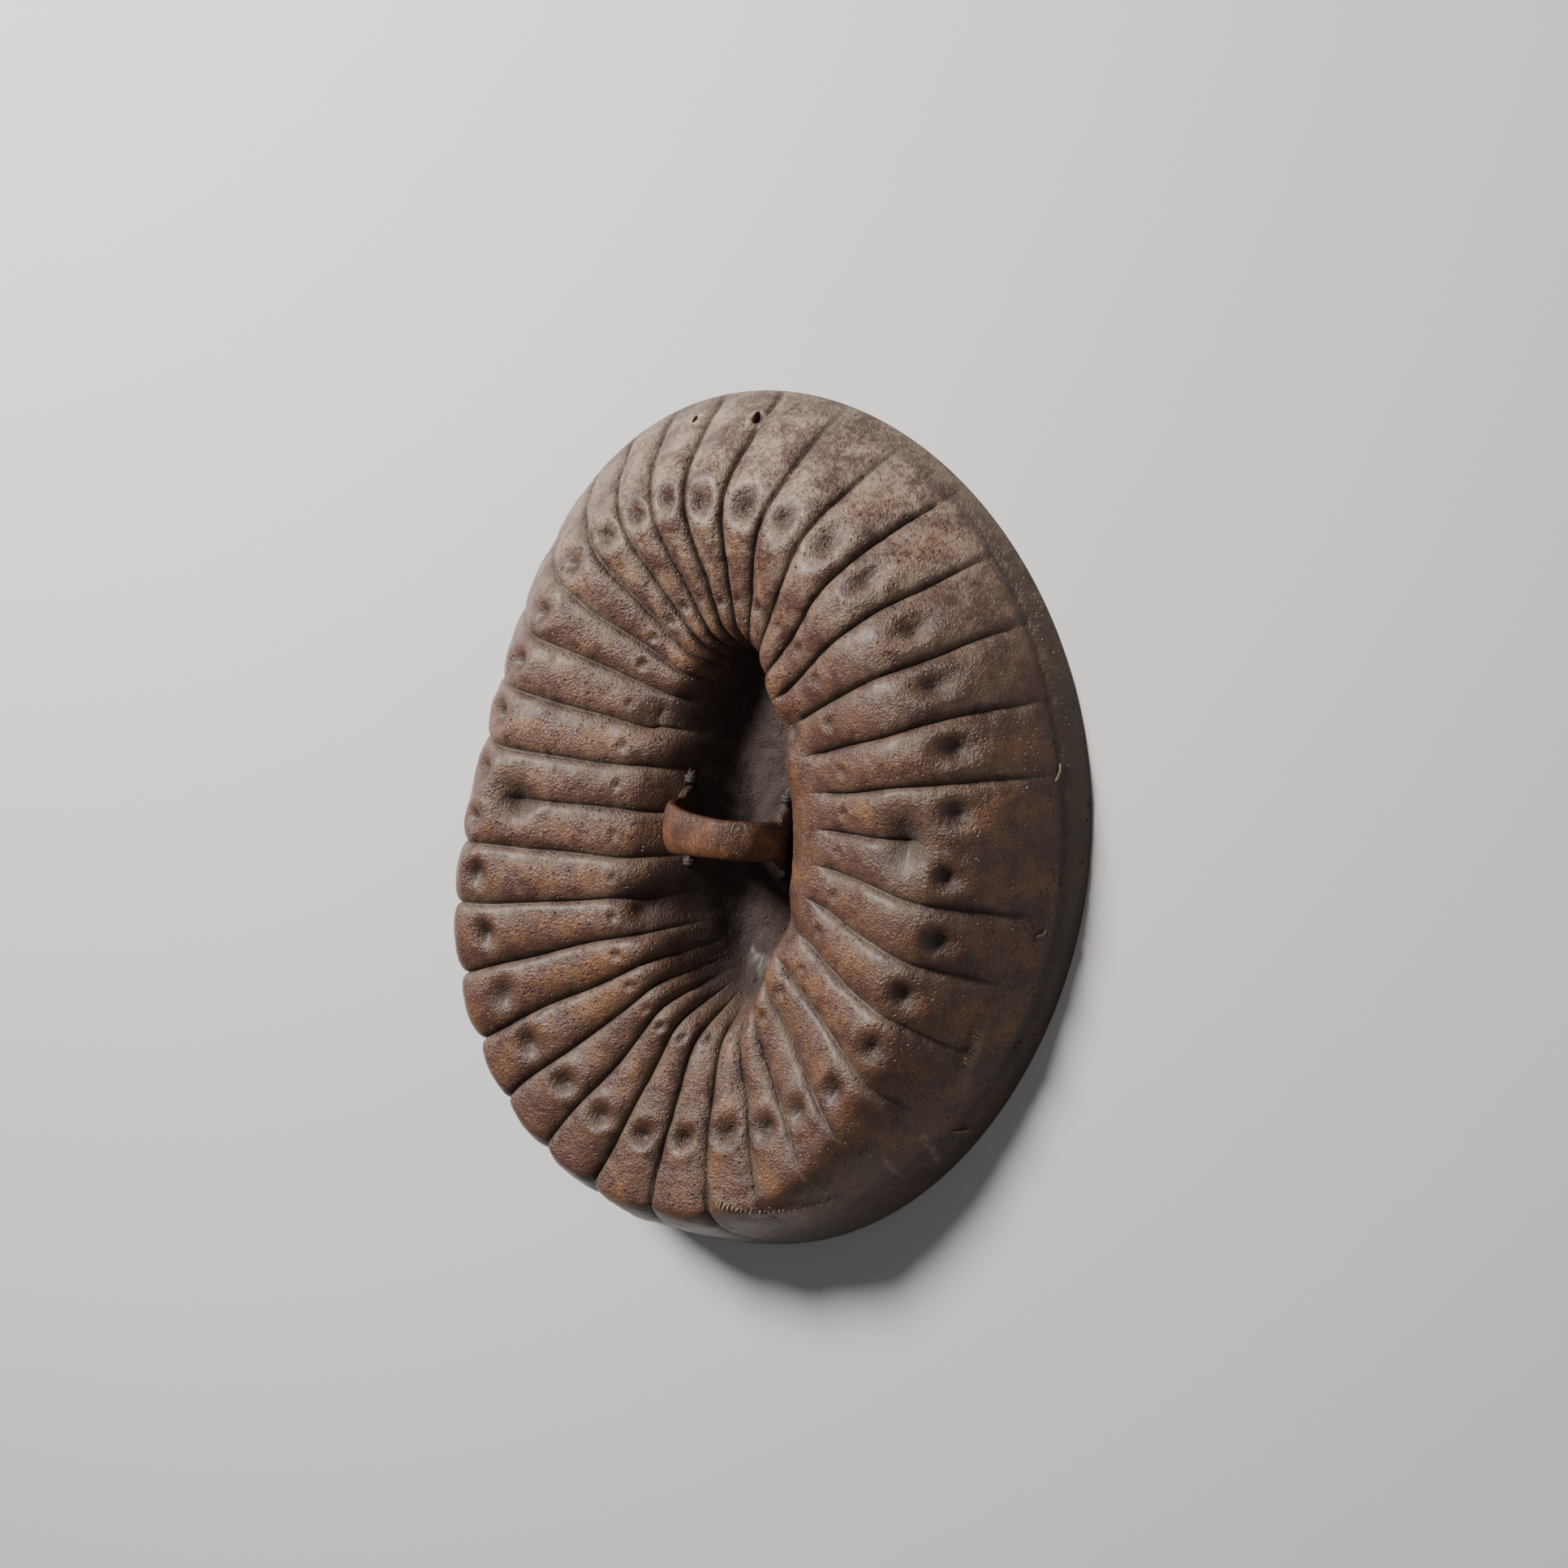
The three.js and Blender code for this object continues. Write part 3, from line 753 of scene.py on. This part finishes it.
def stitched(name, path, count, half, radius, slant=0.35, lift=0.9):
    """A row of stitches across a path, with the thread that shows between them."""
    rib, inset = resample(path, count).T
    middle = hide_point(rib, inset)
    normal = form_normal(rib_angle(rib), inset)
    along = np.gradient(middle, axis=0)
    along /= np.linalg.norm(along, axis=1)[:, None]
    across = np.cross(normal, along)
    made = []
    for i in range(count):
        uneven = 1 + 0.3 * math.sin(7.3 * i)
        direction = across[i] * uneven + slant * along[i] * (1 + 0.8 * math.sin(4.1 * i))
        arch = [(-1, -0.8), (-0.75, 0.35), (0, 0.9), (0.75, 0.35), (1, -0.8)]
        places = [middle[i] + direction * half * s + normal[i] * lift * h for s, h in arch]
        made.append(cord(f"{name}_{i}", np.array(places) * MM, radius * MM, sides=7, steps=12))
    under = np.array([m - n * 0.2 for m, n in zip(middle, normal)]) * MM
    made.append(cord(f"{name}_run", under, 0.75 * radius * MM, sides=7, steps=count * 3))
    return joined(name, made)


def single_stitch(name, path):
    rib, inset = resample(path, 9).T
    arch = 1.2 * np.sin(np.linspace(0, math.pi, 9))
    places = np.concatenate([hide_point(r, i, a) for r, i, a in zip(rib, inset, arch)])
    return cord(name, places * MM, SINGLE_STITCH_RADIUS, sides=8, steps=20)


threads = {
    "seam_thread": stitched("seam_stitches", SEAM, count=28, half=2.6, radius=0.85),
    "scar_thread": stitched("scar_stitches", SCAR, count=9, half=3.6, radius=0.95, slant=0.5),
}
for number, path in enumerate(PALE_STITCHES, start=1):
    threads[f"rim_stitch_{number}"] = single_stitch(f"pale_stitch_{number}", path)
print("sewn lines:", sorted(threads))

# %% [markdown]
# ## Shader maths as plain sums
# A material is a graph of nodes, and wiring it by hand in code is hard to read.
# The small class below wraps a socket, so that a sum such as 1 - mask * 0.5
# adds its own Math nodes. Every other node comes from one method.


# %% The mixing desk
class Value:
    """A socket that can be added, subtracted and multiplied."""

    def __init__(self, finish, socket):
        self.finish = finish
        self.socket = socket

    def _sum(self, operation, first, second):
        return self.finish.add("ShaderNodeMath", {"operation": operation}, {0: first, 1: second})

    def __add__(self, other):
        return self._sum("ADD", self, other)

    def __sub__(self, other):
        return self._sum("SUBTRACT", self, other)

    def __rsub__(self, other):
        return self._sum("SUBTRACT", other, self)

    def __mul__(self, other):
        return self._sum("MULTIPLY", self, other)

    __radd__ = __add__
    __rmul__ = __mul__

    def clamped(self):
        return self.finish.add("ShaderNodeClamp", {}, {0: self})


class Finish:
    """One material with its nodes."""

    def __init__(self, name):
        self.material = bpy.data.materials.new(name)
        self.material.use_nodes = True
        self.nodes = self.material.node_tree.nodes
        self.links = self.material.node_tree.links
        self.shader = self.nodes["Principled BSDF"]

    def add(self, kind, settings, sockets, output=0):
        node = self.nodes.new(kind)
        for name, setting in settings.items():
            setattr(node, name, setting)
        for key, value in sockets.items():
            self.fill(node.inputs[key], value)
        return Value(self, node.outputs[output])

    def fill(self, socket, value):
        if isinstance(value, Value):
            self.links.new(value.socket, socket)
        else:
            socket.default_value = value

    def place(self):
        return self.add("ShaderNodeTexCoord", {}, {}, "Object")

    def mask(self, name):
        return self.add("ShaderNodeAttribute", {"attribute_name": name}, {}, "Fac")

    def grain(self, where, size, detail=3.0, roughness=0.55, distortion=0.0):
        """Noise whose blobs are about `size` metres across."""
        sockets = {"Vector": where, "Scale": 1 / size, "Detail": detail, "Roughness": roughness,
                   "Distortion": distortion}
        return self.add("ShaderNodeTexNoise", {}, sockets, "Fac")

    def cells(self, where, size):
        return self.add("ShaderNodeTexVoronoi", {}, {"Vector": where, "Scale": 1 / size}, "Distance")

    def step(self, value, start, end):
        """A soft step from 0 at start to 1 at end."""
        settings = {"interpolation_type": "SMOOTHSTEP"}
        return self.add("ShaderNodeMapRange", settings, {0: value, 1: start, 2: end, 3: 0.0, 4: 1.0})

    def stretched(self, where, scale):
        return self.add("ShaderNodeMapping", {}, {"Vector": where, "Scale": scale})

    def blend(self, factor, first, second):
        """Lays the second colour over the first. Sockets 6 and 7 are the Mix node's two colours."""
        first, second = ((*c, 1) if isinstance(c, tuple) else c for c in (first, second))
        return self.add("ShaderNodeMix", {"data_type": "RGBA"}, {0: factor, 6: first, 7: second}, 2)

    def bump(self, height, distance, strength=1.0, under=None):
        sockets = {"Height": height, "Distance": distance, "Strength": strength}
        if under is not None:
            sockets["Normal"] = under
        return self.add("ShaderNodeBump", {}, sockets)

    def dress(self, piece, **sockets):
        for name, value in sockets.items():
            self.fill(self.shader.inputs[name.replace("_", " ")], value)
        piece.data.materials.clear()
        piece.data.materials.append(self.material)


print("principled sockets:", len(Finish("probe").shader.inputs))
bpy.data.materials.remove(bpy.data.materials["probe"])

# %% [markdown]
# ## The hide's finish
# Old hide is never one brown. Under a soft sheen it goes from purple-brown to
# worn orange-tan on the ribs, with pale dust along the creases, orange scuffs
# and a dark olive band at the rim. Painted shade darkens the creases, dimples,
# dents and long hollow almost to black, and the rim groove and underside less,
# and a painted pale grey sheen lies towards the top. The skin has pores and fine
# wrinkles. Each is a layer: a mask from the mesh or a noise picks where, and a
# Mix node lays the colour on.

# %% Colours of the hide
# Near-black, used for random dark speckle and for painted shade in creases, hollows, the rim groove and the
# underside.
DARK_TONE_AND_SHADE = (0.024, 0.013, 0.011)
PURPLE = (0.074, 0.032, 0.025)
BROWN = (0.11, 0.054, 0.031)
TAN = (0.2, 0.088, 0.036)
DUST = (0.2, 0.15, 0.105)
# Pale grey of the painted sheen towards the top.
TOP_SHEEN = (0.37, 0.285, 0.22)
OLIVE = (0.052, 0.036, 0.022)
PALE = (0.42, 0.33, 0.24)
SCUFF = (0.36, 0.17, 0.065)

hide_finish = Finish("moulded_hide")
where = hide_finish.place()
patches = hide_finish.grain(where, 0.075, 4, 0.6, 0.6)
mottle = hide_finish.grain(where, 0.022, 5, 0.65, 0.4)
speckle = hide_finish.grain(where, 0.0045, 4, 0.7)
crown = hide_finish.mask("crown")
crease = hide_finish.mask("crease")
hollow = hide_finish.mask("hollow")
lip = hide_finish.mask("lip")
inside = hide_finish.mask("inside")
rim_band = hide_finish.mask("rim_band")
rim_line = hide_finish.mask("rim_line")
layers = hide.data.attributes
print("the mesh has these masks:", [layer.name for layer in layers if layer.data_type == "FLOAT"])

# %% Lay the colours on
upper = hide_finish.add("ShaderNodeSeparateXYZ", {}, {0: where}, "Y")
towards_top = hide_finish.step(upper + (mottle - 0.5) * 0.1, 0.1, 0.33)
colour = hide_finish.blend(hide_finish.step(mottle, 0.36, 0.62), PURPLE, BROWN)
uneven = patches * 0.6 + mottle * 0.4 + (speckle - 0.5) * 0.5 + (crown - 0.5) * 0.1
worn = hide_finish.step(uneven, 0.52, 0.7)
colour = hide_finish.blend(worn * 0.65, colour, TAN)
streaks = hide_finish.grain(hide_finish.stretched(where, (0.5, 1.6, 1.0)), 0.0026, 3, 0.6, 0.6)
scuffs = hide_finish.step(streaks, 0.6, 0.68) * hide_finish.step(patches + (mottle - 0.5) * 0.5, 0.48, 0.62)
colour = hide_finish.blend(scuffs * 0.55, colour, SCUFF)
# Painted sheen: pale grey patches laid on towards the top, the side that faces the lamp.
top_sheen = towards_top * hide_finish.step(speckle + mottle, 0.85, 1.25)
colour = hide_finish.blend(top_sheen * 0.75, colour, TOP_SHEEN)
colour = hide_finish.blend(hide_finish.step(speckle, 0.56, 0.7) * 0.3, colour, DARK_TONE_AND_SHADE)
colour = hide_finish.blend(rim_band * 0.75, colour, OLIVE)
# Painted shade: the groove near the rim, mostly on the right, is darkened.
colour = hide_finish.blend(rim_line * 0.75, colour, DARK_TONE_AND_SHADE)
# Painted shade: the floor of the long hollow under the strap is darkened almost to black.
colour = hide_finish.blend(inside * 0.9, colour, DARK_TONE_AND_SHADE)
dusty = crease * (1 - crease) * hide_finish.step(mottle, 0.4, 0.6) * 1.1
# Painted shade: each crease is darkened towards near-black along its line.
colour = hide_finish.blend((crease * 0.75).clamped(), colour, DARK_TONE_AND_SHADE)
colour = hide_finish.blend(dusty, colour, DUST)
# Painted shade: the dimples, pricks and dents are darkened almost to black.
colour = hide_finish.blend((hollow * 0.9).clamped(), colour, DARK_TONE_AND_SHADE)
colour = hide_finish.blend(hollow * hide_finish.step(mottle, 0.45, 0.62) * 0.35, colour, OLIVE)
scratched = hide_finish.mask("pale") * hide_finish.step(speckle, 0.35, 0.6)
colour = hide_finish.blend(scratched * 0.7, colour, PALE)
# Painted shade: the underside, which faces the floor, is darkened.
colour = hide_finish.blend(hide_finish.mask("underside") * 0.45, colour, DARK_TONE_AND_SHADE)
print("nodes in the hide's finish so far:", len(hide_finish.nodes))

# %% Skin, pores and sheen
COAT_WEIGHT = 0.1
COAT_ROUGHNESS = 0.32
radial = hide_finish.stretched(where, (1.0, 0.45, 1.0))
wrinkles = hide_finish.grain(radial, 0.0045, 7, 0.78, 1.0)
pebble = hide_finish.cells(where, 0.002)
pores = hide_finish.cells(where, 0.0062)
pore_pits = (1 - hide_finish.step(pores, 0.1, 0.24)) * hide_finish.step(patches, 0.4, 0.55)
skin = wrinkles * 0.7 + pebble * 0.4 - pore_pits * 0.9 + speckle * 0.2
fine_skin = hide_finish.bump(skin, 0.0013, 1.0)
lumps = hide_finish.grain(where, 0.014, 3, 0.6)
normal = hide_finish.bump(lumps, 0.0022, 0.5, fine_skin)
roughness = 0.36 + (speckle - 0.5) * 0.25 + (mottle - 0.5) * 0.2
roughness = roughness + crease * 0.25 + hollow * 0.25 + inside * 0.4 - lip * 0.06
hide_finish.dress(hide, Base_Color=colour, Roughness=roughness.clamped(), Normal=normal)
hide_finish.shader.inputs["Specular IOR Level"].default_value = 0.5
hide_finish.shader.inputs["Coat Weight"].default_value = COAT_WEIGHT
hide_finish.shader.inputs["Coat Roughness"].default_value = COAT_ROUGHNESS
print("hide dressed in", hide_finish.material.name)

# %% [markdown]
# ## The strap's finish
# The strap has been handled more than anything else, so it is redder, smoother
# and glossier than the hide, darker along its edges, with fine cross wrinkles
# and orange scuffs. Painted shade darkens it at its feet.

# %% Dress the strap
STRAP_DARK = (0.05, 0.022, 0.014)
STRAP_RED = (0.13, 0.052, 0.024)
STRAP_SCUFF = (0.34, 0.14, 0.045)
STRAP_EDGE = (0.03, 0.015, 0.01)
STRAP_FOOT_SHADE = (0.02, 0.012, 0.009)

strap_finish = Finish("handled_strap")
where = strap_finish.place()
patches = strap_finish.grain(where, 0.03, 4, 0.6, 0.5)
speckle = strap_finish.grain(where, 0.003, 5, 0.7)
colour = strap_finish.blend(strap_finish.step(patches, 0.35, 0.65), STRAP_DARK, STRAP_RED)
scuffed = strap_finish.step(speckle + patches, 1.05, 1.3)
colour = strap_finish.blend(scuffed * 0.5, colour, STRAP_SCUFF)
colour = strap_finish.blend(strap_finish.mask("edge") * 0.45, colour, STRAP_EDGE)
# Painted shade: the strap darkens towards its feet, where it meets the hide and the thongs.
colour = strap_finish.blend(strap_finish.mask("end") * 0.8, colour, STRAP_FOOT_SHADE)
wrinkles = strap_finish.grain(strap_finish.stretched(where, (2.2, 0.6, 1.6)), 0.005, 5, 0.7, 0.8)
normal = strap_finish.bump(wrinkles + speckle * 0.6, 0.0016, 0.9)
roughness = 0.3 + (speckle - 0.5) * 0.3 + strap_finish.mask("end") * 0.25
strap_finish.dress(grip, Base_Color=colour, Roughness=roughness.clamped(), Normal=normal)
print("grip dressed in", strap_finish.material.name)

# %% [markdown]
# ## Thongs and threads
# The thongs are near-black twisted hide with a little grease on them. The
# threads are pale, dry and dirty in their gaps.

# %% Dress the small pieces
THONG_GAP = (0.012, 0.008, 0.006)
THONG_FIBRE = (0.06, 0.035, 0.022)
THREAD_GAP = (0.1, 0.066, 0.044)
THREAD_FIBRE = (0.31, 0.235, 0.16)

thong_finish = Finish("twisted_thong")
where = thong_finish.place()
fibre = thong_finish.grain(where, 0.0016, 4, 0.7)
colour = thong_finish.blend(thong_finish.step(fibre, 0.4, 0.7), THONG_GAP, THONG_FIBRE)
for piece in thongs.values():
    thong_finish.dress(piece, Base_Color=colour, Roughness=0.45 + fibre * 0.25,
                       Normal=thong_finish.bump(fibre, 0.0006))

thread_finish = Finish("pale_thread")
where = thread_finish.place()
fibre = thread_finish.grain(where, 0.0012, 4, 0.7)
colour = thread_finish.blend(thread_finish.step(fibre, 0.35, 0.65), THREAD_GAP, THREAD_FIBRE)
for name, piece in threads.items():
    thread_finish.dress(piece, Base_Color=colour, Roughness=0.6 + fibre * 0.2,
                        Normal=thread_finish.bump(fibre, 0.0004))
print("dressed", len(thongs) + len(threads), "small pieces")

# %% [markdown]
# ## Join the pieces to the frame
# Each finished piece stands for one solid of the frame, which is then hidden.
# Nothing on the shield moves, so all of them ride on the one body.

# %% Frame
pieces = {"hide_shell": (hide, "hide"), "grip_strap": (grip, "strap")}
pieces.update({node: (piece, "thong") for node, piece in thongs.items()})
pieces.update({node: (piece, "thread") for node, piece in threads.items()})
for node, (piece, slot) in pieces.items():
    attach(piece, "root")
    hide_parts(node)
print("pieces joined:", len(pieces))

# %% [markdown]
# ## Floor and light
# The shield lies on a plain pale floor. One soft warm lamp high at the upper
# left lets the ribs shade each other, a weak one from the right keeps the far
# wall of the hollow readable, and a dim world fills the rest.

# %% Studio
bpy.ops.object.select_all(action="DESELECT")
bpy.ops.mesh.primitive_plane_add(size=14)
floor = bpy.context.object
floor.name = "floor"
floor_finish = Finish("studio_floor")
floor_finish.dress(floor, Base_Color=(0.6, 0.6, 0.61, 1), Roughness=0.75)


def soft_lamp(name, place, size, power, colour):
    bpy.ops.object.light_add(type="AREA", location=place)
    lamp = bpy.context.object
    lamp.name = name
    lamp.data.shape = "DISK"
    lamp.data.size = size
    lamp.data.energy = power
    lamp.data.color = colour
    lamp.rotation_euler = (Vector((0, 0, 0.05)) - Vector(place)).to_track_quat("-Z", "Y").to_euler()
    return lamp


soft_lamp("key", (-1.3, 1.4, 2.1), 0.85, 180, (1, 0.965, 0.92))
soft_lamp("fill", (2.2, -0.6, 1.6), 2.2, 7, (0.95, 0.97, 1))
world = bpy.data.worlds.new("studio")
bpy.context.scene.world = world
world.use_nodes = True
world.node_tree.nodes["Background"].inputs["Color"].default_value = (0.8, 0.78, 0.75, 1)
world.node_tree.nodes["Background"].inputs["Strength"].default_value = 0.13
